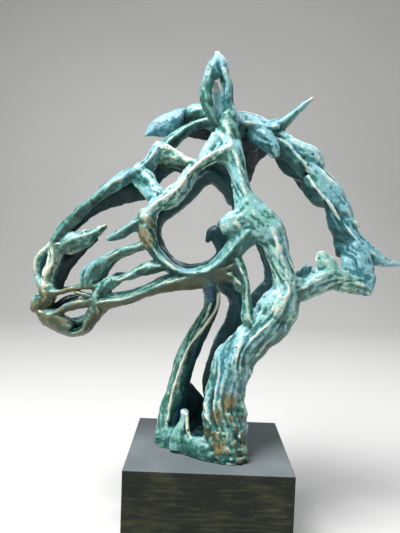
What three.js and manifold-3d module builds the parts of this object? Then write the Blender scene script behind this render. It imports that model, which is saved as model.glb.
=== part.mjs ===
import * as THREE from "three";
import { mergeVertices } from "three/addons/utils/BufferGeometryUtils.js";
import Module from "manifold-3d";

// Horse head in openwork bronze on a square-cut stone block. Millimetres, z up, the horse looks along -x,
// its left side faces -y. The origin is the middle of the block's underside.

// Driving sizes
const HEAD_HEIGHT = 488;
const PLINTH_LENGTH = 200;
const PLINTH_DEPTH = 170;
const PLINTH_HEIGHT = 130;
const PLINTH_EDGE = 1.5;
const SEAT_GAP = 0.3;

// How finely the bars are faceted
const BROAD_BAR_SIDES = 8;
const NARROW_BAR_SIDES = 6;
const BROAD_BAR = 30;
const RING_SPACING = 22;

const wasm = await Module();
wasm.setup();

function solidOf(geometry) {
  geometry.deleteAttribute("normal");
  geometry.deleteAttribute("uv");
  const merged = mergeVertices(geometry, 1e-4);
  return new wasm.Manifold(new wasm.Mesh({
    numProp: 3,
    vertProperties: new Float32Array(merged.attributes.position.array),
    triVerts: new Uint32Array(merged.index.array),
  }));
}

function geometryOf(solid) {
  const mesh = solid.getMesh();
  const geometry = new THREE.BufferGeometry();
  geometry.setAttribute("position", new THREE.BufferAttribute(mesh.vertProperties, 3));
  geometry.setIndex(new THREE.BufferAttribute(mesh.triVerts, 1));
  geometry.computeVertexNormals();
  return geometry;
}

// A smooth path through a bar's stops, one value at a time
function smooth(before, from, to, after, t) {
  const slope = to - before;
  const bend = 2 * before - 5 * from + 4 * to - after;
  const twist = 3 * (from - to) + after - before;
  return from + 0.5 * t * (slope + t * (bend + t * twist));
}

function stopsAlong(stops) {
  const rings = [];
  for (let i = 0; i < stops.length - 1; i += 1) {
    const from = stops[i];
    const to = stops[i + 1];
    const before = stops[i - 1] ?? from.map((value, axis) => 2 * value - to[axis]);
    const after = stops[i + 2] ?? to.map((value, axis) => 2 * value - from[axis]);
    const span = Math.hypot(to[0] - from[0], to[1] - from[1], to[2] - from[2]);
    const pieces = Math.max(1, Math.round(span / RING_SPACING));
    for (let k = 0; k < pieces; k += 1) {
      rings.push(from.map((value, axis) => smooth(before[axis], value, to[axis], after[axis], k / pieces)));
    }
  }
  rings.push(stops[stops.length - 1]);
  return rings;
}

// A bar is lofted through its stops. Each ring is a rounded lozenge: edge 2 is an ellipse, lower values are
// sharper ridges. Cup bends the ring's two edges inwards, and outward is the way the bar's broad face looks.
function loft(stops, outward, edge, cup) {
  const rings = stopsAlong(stops);
  const broadest = Math.max(...rings.map((ring) => Math.max(ring[3], ring[4])));
  const sides = broadest > BROAD_BAR ? BROAD_BAR_SIDES : NARROW_BAR_SIDES;
  const centres = rings.map(([x, y, z]) => new THREE.Vector3(x, y, z));
  const points = [];
  const faces = [];
  const tangents = centres.map((centre, i) => {
    const next = centres[Math.min(i + 1, centres.length - 1)];
    const last = centres[Math.max(i - 1, 0)];
    return next.clone().sub(last).normalize();
  });
  rings.forEach(([, , , width, thickness], i) => {
    const tangent = tangents[i];
    const out = outward.clone().addScaledVector(tangent, -outward.dot(tangent)).normalize();
    const side = new THREE.Vector3().crossVectors(out, tangent);
    for (let k = 0; k < sides; k += 1) {
      const angle = (2 * Math.PI * k) / sides;
      const across = Math.cos(angle);
      const through = Math.sin(angle);
      const reach = (Math.abs(across) ** edge + Math.abs(through) ** edge) ** (-1 / edge);
      const point = centres[i].clone();
      point.addScaledVector(side, 0.5 * width * across * reach);
      point.addScaledVector(out, 0.5 * thickness * through * reach - cup * across * across);
      points.push(...point);
    }
  });
  for (let i = 0; i < rings.length - 1; i += 1) {
    for (let k = 0; k < sides; k += 1) {
      const a = i * sides + k;
      const b = i * sides + ((k + 1) % sides);
      faces.push(a, b, b + sides, a, b + sides, a + sides);
    }
  }
  // Domed ends
  for (const [ring, direction] of [[0, -1], [rings.length - 1, 1]]) {
    const dome = 0.3 * Math.min(rings[ring][3], rings[ring][4]) * direction;
    const tip = centres[ring].clone().addScaledVector(tangents[ring], dome);
    const middle = points.length / 3;
    points.push(...tip);
    for (let k = 0; k < sides; k += 1) {
      const a = ring * sides + k;
      const b = ring * sides + ((k + 1) % sides);
      faces.push(...(direction > 0 ? [a, b, middle] : [b, a, middle]));
    }
  }
  const geometry = new THREE.BufferGeometry();
  geometry.setAttribute("position", new THREE.Float32BufferAttribute(points, 3));
  geometry.setIndex(faces);
  return geometry;
}

// The bronze is drawn in thousandths of its height, from the middle of its seat on the block. A stop is
// x, y, z, the bar's width as seen from the horse's side, and its thickness from side to side.
const bars = [];

function addBar(stops, { edge = 1.7, cup = 0, faces } = {}) {
  const share = HEAD_HEIGHT / 1000;
  const middle = stops[Math.floor(stops.length / 2)];
  const outward = faces ?? [0, middle[1] > 0 ? 1 : -1, 0];
  const placed = stops.map((stop) => stop.map((value) => value * share));
  placed.forEach((stop) => {
    stop[2] += PLINTH_HEIGHT;
  });
  bars.push(loft(placed, new THREE.Vector3(...outward), edge, cup * share));
}

function addPair(stops, shape) {
  addBar(stops, shape);
  addBar(stops.map(([x, y, ...rest]) => [x, -y, ...rest]), shape);
}

// Neck: a broad curved bar up each side, and above it the narrower bar that leads to the temple
addPair([
  [170, -94, 407, 93, 53],
  [142, -96, 352, 103, 53],
  [103, -96, 306, 103, 53],
  [65, -98, 265, 98, 49],
  [45, -98, 219, 99, 49],
  [34, -98, 168, 101, 49],
  [34, -100, 118, 104, 47],
  [41, -100, 68, 107, 45],
  [46, -100, -13, 107, 45],
], { cup: 10 });
addPair([
  [107, -92, 600, 63, 45],
  [136, -94, 560, 63, 53],
  [152, -94, 514, 54, 53],
  [167, -94, 468, 54, 53],
  [174, -94, 427, 73, 57],
  [156, -96, 382, 98, 57],
], { cup: 6 });

// Struts in front of the neck's long holes, slender on the near side and broad on the far side
addBar([
  [58, -90, 501, 39, 37],
  [62, -90, 467, 34, 37],
  [73, -90, 435, 22, 33],
  [77, -92, 403, 20, 33],
  [76, -96, 359, 34, 37],
]);
addBar([
  [29, 86, 429, 56, 33],
  [64, 90, 396, 56, 33],
  [77, 92, 357, 62, 33],
  [71, 94, 308, 74, 37],
  [43, 98, 245, 80, 41],
]);

// Throat: a ridged bar on the middle line, from behind the jaw down to the point of the foot
addBar([
  [-20, -20, 442, 36, 70],
  [-6, -12, 411, 42, 57],
  [-9, -6, 368, 39, 53],
  [-28, -2, 321, 42, 53],
  [-51, 0, 274, 48, 53],
  [-70, 0, 225, 53, 57],
  [-93, 0, 127, 53, 57],
  [-108, 0, 80, 54, 61],
  [-120, 0, -2, 50, 74],
], { edge: 1.3 });

// Foot: its rim on each side, the hook in its notch, the wall behind the notch and the nape behind all
addPair([
  [-124, -8, 14, 37, 45],
  [-85, -37, 11, 63, 45],
  [-42, -68, 7, 56, 41],
  [3, -90, 6, 50, 41],
  [56, -98, 8, 50, 41],
]);
addBar([
  [-64, -55, 104, 23, 25],
  [-66, -53, 77, 21, 27],
  [-75, -57, 46, 36, 29],
  [-73, -61, 11, 62, 33],
]);
addBar([[-83, 29, 17, 60, 20], [-57, 53, 48, 111, 20], [-14, 78, 81, 158, 25]]);
addBar([
  [80, 0, -10, 205, 34],
  [78, 0, 60, 200, 32],
  [74, 0, 130, 190, 30],
  [84, 0, 200, 175, 28],
  [118, 0, 260, 150, 26],
  [160, 0, 310, 110, 22],
], { faces: [1, 0, -0.4] });

// Jaw, and the bridge that ties its two sides to the throat
addPair([
  [54, -86, 481, 54, 49],
  [15, -84, 469, 49, 49],
  [-26, -82, 455, 49, 49],
  [-68, -82, 444, 45, 49],
  [-107, -80, 435, 37, 45],
  [-149, -76, 420, 30, 41],
  [-207, -68, 394, 25, 35],
  [-245, -61, 382, 25, 35],
  [-295, -53, 371, 33, 35],
]);
addBar([[-18, -84, 452, 44, 40], [-16, 0, 446, 46, 40], [-18, 84, 452, 44, 40]], { faces: [0, 0, 1] });

// Eye socket: a brow and a ring on each side. The far brow is deeper than the near one.
addBar([
  [14, -74, 766, 34, 45],
  [-18, -80, 749, 24, 49],
  [-51, -84, 728, 22, 53],
  [-72, -86, 705, 27, 57],
  [-88, -88, 673, 36, 57],
  [-116, -90, 645, 41, 57],
  [-152, -90, 625, 34, 53],
  [-171, -88, 595, 39, 49],
]);
addBar([
  [47, 82, 658, 44, 41],
  [24, 82, 701, 50, 41],
  [-16, 82, 724, 55, 45],
  [-49, 84, 710, 50, 45],
  [-75, 86, 676, 39, 49],
  [-107, 88, 642, 39, 49],
  [-145, 88, 613, 39, 49],
  [-168, 88, 585, 36, 49],
]);
addPair([
  [-171, -88, 600, 39, 49],
  [-172, -86, 566, 37, 49],
  [-162, -84, 532, 32, 49],
  [-139, -84, 498, 30, 49],
  [-108, -84, 472, 27, 49],
  [-63, -84, 461, 27, 49],
  [-19, -86, 471, 30, 49],
  [17, -88, 497, 37, 49],
  [45, -90, 530, 49, 49],
  [74, -94, 565, 58, 49],
]);
addBar([[-171, -86, 590, 37, 33], [-205, -86, 574, 27, 27], [-239, -82, 553, 20, 20], [-269, -78, 538, 5, 8]]);

// Post from the poll down to the temple, the temple's broad knot, and the curl on the far side
addPair([
  [15, -61, 809, 49, 53],
  [16, -70, 776, 69, 49],
  [37, -78, 739, 46, 49],
  [48, -84, 700, 37, 49],
  [59, -88, 662, 44, 49],
  [77, -92, 619, 78, 45],
]);
addPair([
  [16, -90, 577, 20, 33],
  [35, -94, 581, 58, 41],
  [68, -96, 589, 73, 45],
  [102, -94, 595, 68, 45],
  [130, -94, 572, 63, 49],
], { cup: 6 });
addBar([[27, 86, 474, 34, 25], [15, 84, 513, 22, 23], [2, 80, 546, 39, 25], [-16, 78, 570, 25, 20]]);

// Poll: the knot that joins both posts, the ears and the crest
addBar([[19, -76, 800, 60, 56], [22, 0, 822, 62, 56], [19, 76, 800, 60, 56]], { faces: [0, 0, 1] });

// Cheek bars and the corner of the mouth
addPair([
  [-159, -84, 534, 29, 37],
  [-194, -80, 523, 22, 33],
  [-229, -74, 512, 22, 29],
  [-265, -68, 493, 22, 29],
  [-295, -61, 471, 35, 29],
  [-316, -57, 445, 45, 29],
  [-321, -55, 422, 30, 27],
]);
addPair([
  [-133, -84, 476, 25, 37],
  [-173, -80, 469, 30, 29],
  [-208, -74, 453, 20, 25],
  [-235, -70, 441, 15, 23],
  [-261, -66, 432, 28, 25],
  [-284, -59, 413, 30, 27],
]);
addPair([[-287, -57, 421, 23, 27], [-297, -55, 392, 35, 29], [-297, -51, 361, 36, 31]]);

// Lips and chin
addPair([
  [-292, -57, 415, 20, 25],
  [-326, -53, 419, 18, 25],
  [-361, -45, 409, 13, 20],
  [-394, -35, 399, 13, 23],
  [-426, -23, 394, 23, 33],
]);
addBar([[-295, -53, 389, 20, 20], [-321, -49, 393, 12, 18], [-353, -45, 401, 10, 16]]);
addBar([[-435, -12, 410, 31, 53], [-435, -8, 381, 45, 61], [-455, -4, 364, 45, 57], [-469, 0, 347, 24, 45]],
  { edge: 2 });
addPair([
  [-442, -8, 325, 20, 45],
  [-413, -18, 338, 21, 37],
  [-382, -29, 357, 21, 29],
  [-344, -39, 370, 20, 27],
  [-303, -49, 381, 23, 29],
]);
addBar([
  [-440, -6, 319, 26, 53],
  [-418, -8, 313, 34, 57],
  [-391, -10, 295, 24, 61],
  [-359, -12, 289, 20, 61],
  [-331, -18, 305, 26, 57],
  [-316, -31, 331, 36, 49],
  [-298, -45, 357, 36, 37],
]);
addBar([[-331, 12, 305, 24, 40], [-316, 31, 331, 28, 40], [-298, 45, 357, 30, 37]]);

// Muzzle: the bar and the open loop of each nostril, the far wall behind them, and the thorn
addPair([
  [-416, -29, 519, 31, 25],
  [-416, -29, 485, 28, 25],
  [-424, -27, 456, 28, 25],
  [-437, -23, 430, 26, 27],
  [-438, -18, 400, 31, 33],
]);
addPair([
  [-425, -25, 511, 18, 18],
  [-446, -25, 499, 18, 18],
  [-462, -20, 478, 13, 18],
  [-465, -18, 454, 13, 18],
  [-459, -18, 428, 18, 20],
  [-446, -16, 405, 26, 29],
]);
addBar([[-411, 25, 531, 37, 18], [-394, 27, 489, 54, 18], [-404, 27, 451, 70, 18], [-413, 20, 413, 54, 18]]);
addBar([
  [-411, -29, 516, 33, 27],
  [-380, -29, 520, 51, 25],
  [-350, -27, 531, 49, 23],
  [-318, -25, 548, 31, 18],
  [-286, -20, 572, 5, 8],
], { edge: 1.3 });

// Bridge of the nose: a ridge on the near side, a deeper wall on the far side, and the roof between them
addBar([
  [-145, -53, 771, 37, 33],
  [-171, -51, 738, 30, 33],
  [-199, -45, 713, 35, 33],
  [-244, -41, 689, 30, 29],
  [-287, -37, 658, 23, 25],
  [-325, -33, 629, 23, 25],
  [-363, -31, 592, 28, 25],
  [-394, -29, 558, 31, 25],
  [-414, -29, 524, 28, 27],
]);
addBar([
  [-178, 57, 697, 92, 22],
  [-231, 51, 681, 81, 20],
  [-281, 45, 660, 70, 18],
  [-330, 39, 623, 42, 18],
  [-374, 33, 581, 34, 18],
  [-416, 25, 536, 31, 20],
]);
addBar([
  [-140, 0, 776, 110, 20],
  [-204, 0, 722, 100, 20],
  [-287, 0, 667, 80, 18],
  [-363, 0, 602, 64, 18],
  [-418, 0, 526, 52, 22],
], { faces: [-0.5, 0, 0.87] });
addPair([[-198, -49, 710, 40, 29], [-178, -66, 679, 37, 27], [-151, -84, 647, 29, 33]]);

// Brow knot at the top of the nose, and the wall that faces it on the far side
addPair([
  [-155, -53, 765, 37, 37],
  [-124, -59, 758, 27, 33],
  [-94, -68, 746, 15, 29],
  [-68, -78, 733, 15, 33],
  [-44, -84, 731, 19, 41],
]);
addBar([[-184, 61, 697, 54, 18], [-158, 66, 725, 44, 18], [-126, 70, 746, 38, 18], [-94, 78, 743, 44, 20]]);

// Forehead band, forelock, and the far ear that lies flat against them
addBar([
  [-141, -45, 772, 33, 37],
  [-110, -20, 803, 33, 37],
  [-76, -8, 832, 23, 41],
  [-38, -12, 842, 23, 49],
  [3, -33, 824, 35, 61],
]);
addBar([[3, -16, 858, 31, 41], [-26, 0, 873, 31, 37], [-57, 16, 884, 29, 29], [-86, 29, 873, 24, 25]]);
addBar([
  [-81, 29, 880, 21, 25],
  [-105, 33, 870, 42, 27],
  [-136, 33, 856, 50, 27],
  [-167, 31, 839, 37, 23],
  [-195, 25, 818, 8, 10],
]);

// Near ear: an open loop of two bars that meet at its tip
addBar([
  [-1, -61, 840, 20, 33],
  [-27, -74, 861, 34, 25],
  [-40, -80, 892, 29, 18],
  [-36, -78, 926, 27, 18],
  [-26, -74, 959, 29, 20],
  [-17, -70, 993, 22, 14],
]);
addBar([
  [20, -57, 825, 49, 45],
  [16, -57, 859, 40, 37],
  [14, -66, 895, 22, 29],
  [12, -70, 928, 19, 25],
  [-4, -72, 960, 27, 23],
  [-13, -70, 996, 18, 14],
]);

// Crest: the arched mane, with its horn, tongue, flaps, keel and tail, and a strut down to the far post
addBar([
  [19, -16, 838, 56, 90],
  [58, 0, 848, 57, 70],
  [95, 6, 841, 57, 53],
  [129, 6, 827, 62, 45],
  [167, 6, 800, 65, 41],
]);
addBar([
  [146, 6, 812, 68, 41],
  [188, 4, 780, 68, 41],
  [229, 2, 740, 68, 41],
  [267, 0, 697, 62, 37],
  [303, 0, 654, 57, 37],
  [329, 0, 608, 52, 37],
  [348, 0, 560, 52, 37],
  [362, -4, 513, 58, 41],
  [380, -12, 467, 52, 41],
  [400, -16, 429, 26, 25],
]);
addBar([[106, -16, 831, 36, 33], [129, -25, 801, 30, 29], [145, -27, 771, 23, 20]]);
addBar([[112, 31, 810, 53, 29], [94, 45, 785, 48, 29], [78, 61, 752, 43, 29], [72, 74, 713, 38, 33]]);
addBar([
  [93, -4, 856, 21, 29],
  [137, -8, 852, 23, 25],
  [171, -12, 867, 20, 20],
  [200, -16, 887, 15, 16],
  [227, -18, 905, 5, 8],
]);
addBar([[196, -4, 804, 21, 20], [229, -8, 792, 23, 20], [253, -12, 772, 23, 16], [262, -12, 744, 5, 8]]);
addBar([[295, -4, 692, 23, 20], [324, -8, 657, 26, 18], [347, -10, 614, 5, 8]]);
addBar([[170, 16, 763, 31, 25], [204, 20, 733, 32, 20], [239, 25, 693, 37, 20], [272, 25, 657, 19, 16]]);
addBar([
  [336, -4, 606, 31, 25],
  [361, -6, 571, 26, 25],
  [391, -8, 530, 31, 25],
  [426, -8, 505, 23, 18],
  [479, -8, 494, 5, 8],
]);

// Lower mane: from each side of the neck back to the crest's end, with a horn on each
addPair([
  [179, -90, 436, 64, 45],
  [218, -78, 432, 55, 37],
  [258, -61, 449, 55, 33],
  [300, -45, 457, 56, 33],
  [348, -29, 447, 51, 33],
  [394, -16, 434, 36, 27],
]);
addBar([[287, -49, 477, 46, 25], [275, -51, 502, 23, 18], [263, -53, 529, 5, 8]]);
addBar([[249, 66, 428, 50, 25], [253, 61, 459, 47, 25], [256, 57, 482, 27, 18]]);

// The bars are cast as one, and the foot is cut flat just clear of the block
const seat = PLINTH_HEIGHT + SEAT_GAP;
const below = new THREE.BoxGeometry(2 * HEAD_HEIGHT, HEAD_HEIGHT, PLINTH_HEIGHT);
below.translate(0, 0, seat - PLINTH_HEIGHT / 2);
const castBars = bars.map(solidOf).reduce((whole, solid) => whole.add(solid));
const head = castBars.subtract(solidOf(below));

// Stone block with narrow bevels on all its edges
function block(length, depth, height, edge) {
  const outline = new THREE.Shape();
  const x = length / 2 - edge;
  const y = depth / 2 - edge;
  outline.moveTo(-x, -y);
  outline.lineTo(x, -y);
  outline.lineTo(x, y);
  outline.lineTo(-x, y);
  outline.closePath();
  const geometry = new THREE.ExtrudeGeometry(outline, {
    depth: height - 2 * edge,
    bevelEnabled: true,
    bevelThickness: edge,
    bevelSize: edge,
    bevelSegments: 1,
  });
  geometry.translate(0, 0, edge);
  return geometry;
}

const bronze = new THREE.MeshStandardMaterial({ color: 0x4f8a82, roughness: 0.5, metalness: 0.6 });
const stone = new THREE.MeshStandardMaterial({ color: 0x3c403a, roughness: 0.9, metalness: 0 });

const group = new THREE.Group();

const horseHead = new THREE.Mesh(geometryOf(head), bronze);
horseHead.name = "horse_head";
group.add(horseHead);

const plinth = new THREE.Mesh(block(PLINTH_LENGTH, PLINTH_DEPTH, PLINTH_HEIGHT, PLINTH_EDGE), stone);
plinth.name = "plinth";
group.add(plinth);

export default group;
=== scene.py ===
import math

import bpy
import numpy as np
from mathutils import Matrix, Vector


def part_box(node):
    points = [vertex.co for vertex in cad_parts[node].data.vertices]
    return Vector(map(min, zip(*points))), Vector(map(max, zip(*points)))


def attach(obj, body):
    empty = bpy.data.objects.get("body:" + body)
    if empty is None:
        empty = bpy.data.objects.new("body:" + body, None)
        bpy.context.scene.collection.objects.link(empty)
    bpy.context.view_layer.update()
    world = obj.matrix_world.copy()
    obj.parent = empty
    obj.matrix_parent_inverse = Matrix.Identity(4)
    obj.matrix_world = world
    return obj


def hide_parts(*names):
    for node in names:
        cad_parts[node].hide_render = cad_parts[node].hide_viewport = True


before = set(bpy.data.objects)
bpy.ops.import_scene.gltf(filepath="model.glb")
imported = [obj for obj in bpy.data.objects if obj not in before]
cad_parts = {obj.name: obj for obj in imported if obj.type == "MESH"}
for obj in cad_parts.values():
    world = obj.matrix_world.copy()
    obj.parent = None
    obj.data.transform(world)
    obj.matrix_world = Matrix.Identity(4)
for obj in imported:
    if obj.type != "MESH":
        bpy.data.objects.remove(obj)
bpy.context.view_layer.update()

import openvdb
from mathutils import Matrix, Vector

# Neck
# A broad curved bar and a narrower one above it, on each side, carry the head from the foot to the temple.
# They were laid up in wax, strip over strip, and cast in bronze as one with every bar that follows.

# The wax is built up in a volume of small cells. Each holds the distance to the nearest skin, up to FAR
GRAIN = 0.00125
LAY_STEP = 0.005
REACH = 0.009
FAR = 0.02
MARGIN = 0.012
# The runs of wax along a bar
RUN_WIDTH = 0.0065
RUN_LENGTH = 0.038
RUN_SKEW = 0.35
RUN_SWAY = 0.035
RUN_HEIGHT = 0.10
TALLEST_RUN = 0.0024
# The bar's own section: how far its ridge leans, how its girth swells, and the bead along the ridge
LEAN = 0.35
SWELL = 0.09
CREST_HALF = 0.0017
CREST_WANDER = 0.0022
CREST_STEP = 0.012
CREST_GILT = 0.3
# The fillet in the corner where two bars meet
WIDEST_WEB = 0.006
WEB_SHARE = 0.45

block_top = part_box("plinth")[1].z
head_low, head_high = (np.array(corner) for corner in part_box("horse_head"))
share = (head_high[2] - block_top) / 1000
clay_low = head_low - MARGIN
clay_size = np.ceil((head_high + MARGIN - clay_low) / GRAIN).astype(int)
axes = [clay_low[a] + GRAIN * np.arange(clay_size[a]) for a in range(3)]
clay = np.full(clay_size, FAR, np.float32)
runs = np.zeros(clay_size, np.float32)
gilding = np.zeros(clay_size, np.float32)
blueness = np.zeros(clay_size, np.float32)
# This layer holds painted shade, with some darker tone of the bars' own, and below nought painted light.
darkness = np.zeros(clay_size, np.float32)
pitting = np.zeros(clay_size, np.float32)
rng = np.random.default_rng(11)


def rings_along(stops):
    """A smooth path through a bar's stops, in steps of about LAY_STEP"""
    stops = np.array(stops, float) * share
    stops[:, 2] += block_top
    padded = np.vstack([2 * stops[0] - stops[1], stops, 2 * stops[-1] - stops[-2]])
    rings = []
    for before, start, end, after in zip(padded, padded[1:], padded[2:], padded[3:]):
        count = max(1, round(np.linalg.norm(end[:3] - start[:3]) / LAY_STEP))
        t = np.arange(count)[:, None] / count
        slope = end - before
        bend = 2 * before - 5 * start + 4 * end - after
        twist = 3 * (start - end) + after - before
        rings.append(start + 0.5 * t * (slope + t * (bend + t * twist)))
    return np.vstack(rings + [stops[-1:]])


def unit(vectors):
    return vectors / np.linalg.norm(vectors, axis=-1, keepdims=True)


def wax_runs(along, around, length, girth):
    """Ridges from -1 to 1 that run along a bar, a little askew, with a grain of their own on each bar"""
    rows = max(3, round(length / RUN_LENGTH) + 2)
    columns = max(5, round(girth / RUN_WIDTH))
    height = 0
    for fineness, strength in ((1, 0.65), (2, 0.35)):
        lattice = rng.random((fineness * rows + 1, fineness * columns))
        a = np.clip(along * (rows - 1), 0, rows - 1.001) * fineness
        b = (around + RUN_SKEW * along + RUN_SWAY * np.sin(1.9 * rows * along)) * columns * fineness
        i = np.floor(a).astype(int)
        j = np.floor(b).astype(int)
        s = a - i
        t = b - j
        s = s * s * (3 - 2 * s)
        t = t * t * (3 - 2 * t)
        j0 = j % lattice.shape[1]
        j1 = (j + 1) % lattice.shape[1]
        low = lattice[i, j0] * (1 - t) + lattice[i, j1] * t
        high = lattice[i + 1, j0] * (1 - t) + lattice[i + 1, j1] * t
        value = low * (1 - s) + high * s
        height = height + strength * (1 - 2 * np.abs(2 * value - 1))
    return height


def lay_bar(stops, edge=1.45, cup=0, faces=None, run=1.0, gilt=0.3, blue=0.5, dark=0.0, pitted=0.15,
            crest=0.0011):
    """Adds a bar to the clay. A stop is x, y, z, the width seen from the side and the thickness, all in
    thousandths of the head's height, and so is cup, how far the bar's edges fold in. edge is how round the
    section is, and faces is the way its broad side looks. The section's ridge leans up, so a level bar has a
    narrow bright face over a broad one in shade. crest is the height in metres of the bead along that ridge,
    run is how strong the runs are, and gilt, blue and pitted say how the bar is finished. dark paints shade
    into the bar's colour, as where it lies in shadow, with some darker tone of its own, and below nought it
    paints light instead."""
    middle = stops[len(stops) // 2]
    outward = np.array(faces or (0, 1 if middle[1] > 0 else -1, 0), float)
    rings = rings_along(stops)
    centre = rings[:, :3]
    width = rings[:, 3] / 2
    depth = rings[:, 4] / 2
    cup = cup * share
    knots = np.linspace(0, len(rings) - 1, max(4, len(rings) // 4))
    swell = 1 + SWELL * np.interp(np.arange(len(rings)), knots, rng.uniform(-1, 1, len(knots)))
    width = width * swell
    depth = depth * swell
    ahead = unit(np.gradient(centre, axis=0))
    out = unit(outward - (ahead @ outward)[:, None] * ahead)
    side = np.cross(out, ahead)
    stretch = np.linalg.norm(np.diff(centre, axis=0), axis=1)
    start_of = np.concatenate([[0], np.cumsum(stretch)])
    length = start_of[-1]
    girth = math.pi * (width.mean() + depth.mean())
    extent = np.abs(side) * (width + cup)[:, None] + np.abs(out) * (depth + cup)[:, None] + REACH
    first = np.clip(((centre - extent).min(0) - clay_low) / GRAIN, 0, clay_size).astype(int)
    last = np.clip(((centre + extent).max(0) - clay_low) / GRAIN + 2, 0, clay_size).astype(int)
    if (last <= first).any():
        return
    bar = np.full(last - first, FAR, np.float32)
    along_at = np.zeros(bar.shape, np.float32)
    around_at = np.zeros(bar.shape, np.float32)
    off_crest = np.full(bar.shape, FAR, np.float32)
    for k in range(len(rings) - 1):
        box_low = np.minimum((centre - extent)[k], (centre - extent)[k + 1])
        box_high = np.maximum((centre + extent)[k], (centre + extent)[k + 1])
        low = np.clip(((box_low - clay_low) / GRAIN).astype(int), first, last)
        high = np.clip(((box_high - clay_low) / GRAIN + 2).astype(int), first, last)
        x, y, z = (axes[a][low[a]:high[a]] for a in range(3))

        def project(direction):
            return ((x * direction[0])[:, None, None] + (y * direction[1])[None, :, None]
                    + (z * direction[2])[None, None, :])

        past_start = project(ahead[k]) - centre[k] @ ahead[k]
        before_end = centre[k + 1] @ ahead[k + 1] - project(ahead[k + 1])
        slack_start = REACH if k == 0 else GRAIN
        slack_end = REACH if k == len(rings) - 2 else GRAIN
        i, j, l = np.nonzero((past_start > -slack_start) & (before_end > -slack_end))
        if not len(i):
            continue
        s = past_start[i, j, l]
        e = before_end[i, j, l]
        t = np.clip(s / np.maximum(s + e, 1e-6), 0, 1)
        over = np.maximum(np.maximum(-s, -e), 0)
        from_start = np.stack([x[i], y[j], z[l]], 1) - centre[k]
        offset = from_start - t[:, None] * (centre[k + 1] - centre[k])
        side_here = side[k] + t[:, None] * (side[k + 1] - side[k])
        out_here = out[k] + t[:, None] * (out[k + 1] - out[k])
        w = width[k] + t * (width[k + 1] - width[k])
        d = depth[k] + t * (depth[k + 1] - depth[k])
        across = np.einsum("ij,ij->i", offset, side_here) / w
        through = (np.einsum("ij,ij->i", offset, out_here) + cup * np.clip(across, -1, 1) ** 2) / d
        across = across - LEAN * side_here[:, 2] * np.clip(through, 0, 1)
        u = np.abs(across) + 1e-6
        v = np.abs(through) + 1e-6
        pull_u = u ** (edge - 1)
        pull_v = v ** (edge - 1)
        rho = (pull_u * u + pull_v * v) ** (1 / edge)
        steep = rho ** (1 - edge) * np.hypot(pull_u / w, pull_v / d)
        dome = 0.6 * np.minimum(w, d)
        capped = np.sqrt(rho ** 2 + (over / dome) ** 2)
        steep = np.hypot(steep * rho, over / dome ** 2) / capped
        distance = np.clip((capped - 1) / np.maximum(steep, 1e-3), -FAR, FAR)
        at = (i + low[0] - first[0], j + low[1] - first[1], l + low[2] - first[2])
        closer = distance < bar[at]
        at = tuple(index[closer] for index in at)
        bar[at] = distance[closer]
        along_at[at] = (start_of[k] + t[closer] * stretch[k]) / length
        around_at[at] = np.arctan2(through[closer] * d[closer], across[closer] * w[closer]) / (2 * math.pi)
        off_crest[at] = np.where(through[closer] > 0.3, across[closer] * w[closer], FAR)

    skin = np.nonzero(np.abs(bar) < 0.6 * REACH)
    height = wax_runs(along_at[skin], around_at[skin], length, girth)
    knots = np.linspace(0, 1, max(4, round(length / CREST_STEP)))
    sway = np.interp(along_at[skin], knots, rng.uniform(-1, 1, len(knots))) * CREST_WANDER
    fade = np.interp(along_at[skin], knots, np.clip(rng.uniform(-0.2, 1.5, len(knots)), 0, 1))
    bead = fade * np.exp(-((off_crest[skin] - sway) / CREST_HALF) ** 2)
    bar_runs = np.zeros(bar.shape, np.float32)
    bar_runs[skin] = height + bead
    bar_gilt = np.full(bar.shape, gilt, np.float32)
    bar_gilt[skin] += CREST_GILT * bead
    tallest = min(TALLEST_RUN, RUN_HEIGHT * 2 * min(width.mean(), depth.mean())) * run
    bar[skin] -= tallest * height + crest * bead

    # Where two bars meet, the wax is smoothed into the corner
    region = tuple(slice(a, b) for a, b in zip(first, last))
    web = min(WIDEST_WEB, WEB_SHARE * min(width.mean(), depth.mean()))
    here = clay[region]
    near = np.nonzero(bar < REACH)
    old = here[near]
    new = bar[near]
    blend = np.clip(1 - np.abs(old - new) / web, 0, 1)
    mix = np.clip(0.5 + 0.5 * (old - new) / web, 0, 1)
    here[near] = np.minimum(old, new) - 0.25 * web * blend ** 2
    # The bar's finish and the light and shade painted on it go into the layers, blended at the web.
    finishes_and_painted_shade = ((runs, bar_runs[near]), (gilding, bar_gilt[near]), (blueness, blue), (darkness, dark),
                (pitting, pitted))
    for layer, value in finishes_and_painted_shade:
        layer[region][near] += mix * (value - layer[region][near])


def lay_pair(stops, **shape):
    """The same bar on each side of the head"""
    lay_bar(stops, **shape)
    lay_bar([(x, -y, *rest) for x, y, *rest in stops], **shape)


def lay_ridge(points, **shape):
    """A fine bead along a bar's edge, where the patina is worn through"""
    lay_bar([(x, y, z, 9, 11) for x, y, z in points], edge=1.3, gilt=0.7, run=0.3, crest=0.0, **shape)


def lay_dab(x, y, z, wide, tall, **shape):
    """A lump of wax pressed on, wide along x and tall along z, a little askew"""
    rise = rng.uniform(-0.5, 0.5) * wide
    lay_bar([(x - wide / 4, y, z, tall, 14), (x + wide / 4, y, z + rise, 0.6 * tall, 14)],
            edge=2, run=0.3, crest=0.0, **shape)


trunk = dict(gilt=0.5, blue=0.45, run=0.72, pitted=0.25, crest=0.0006)
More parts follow.
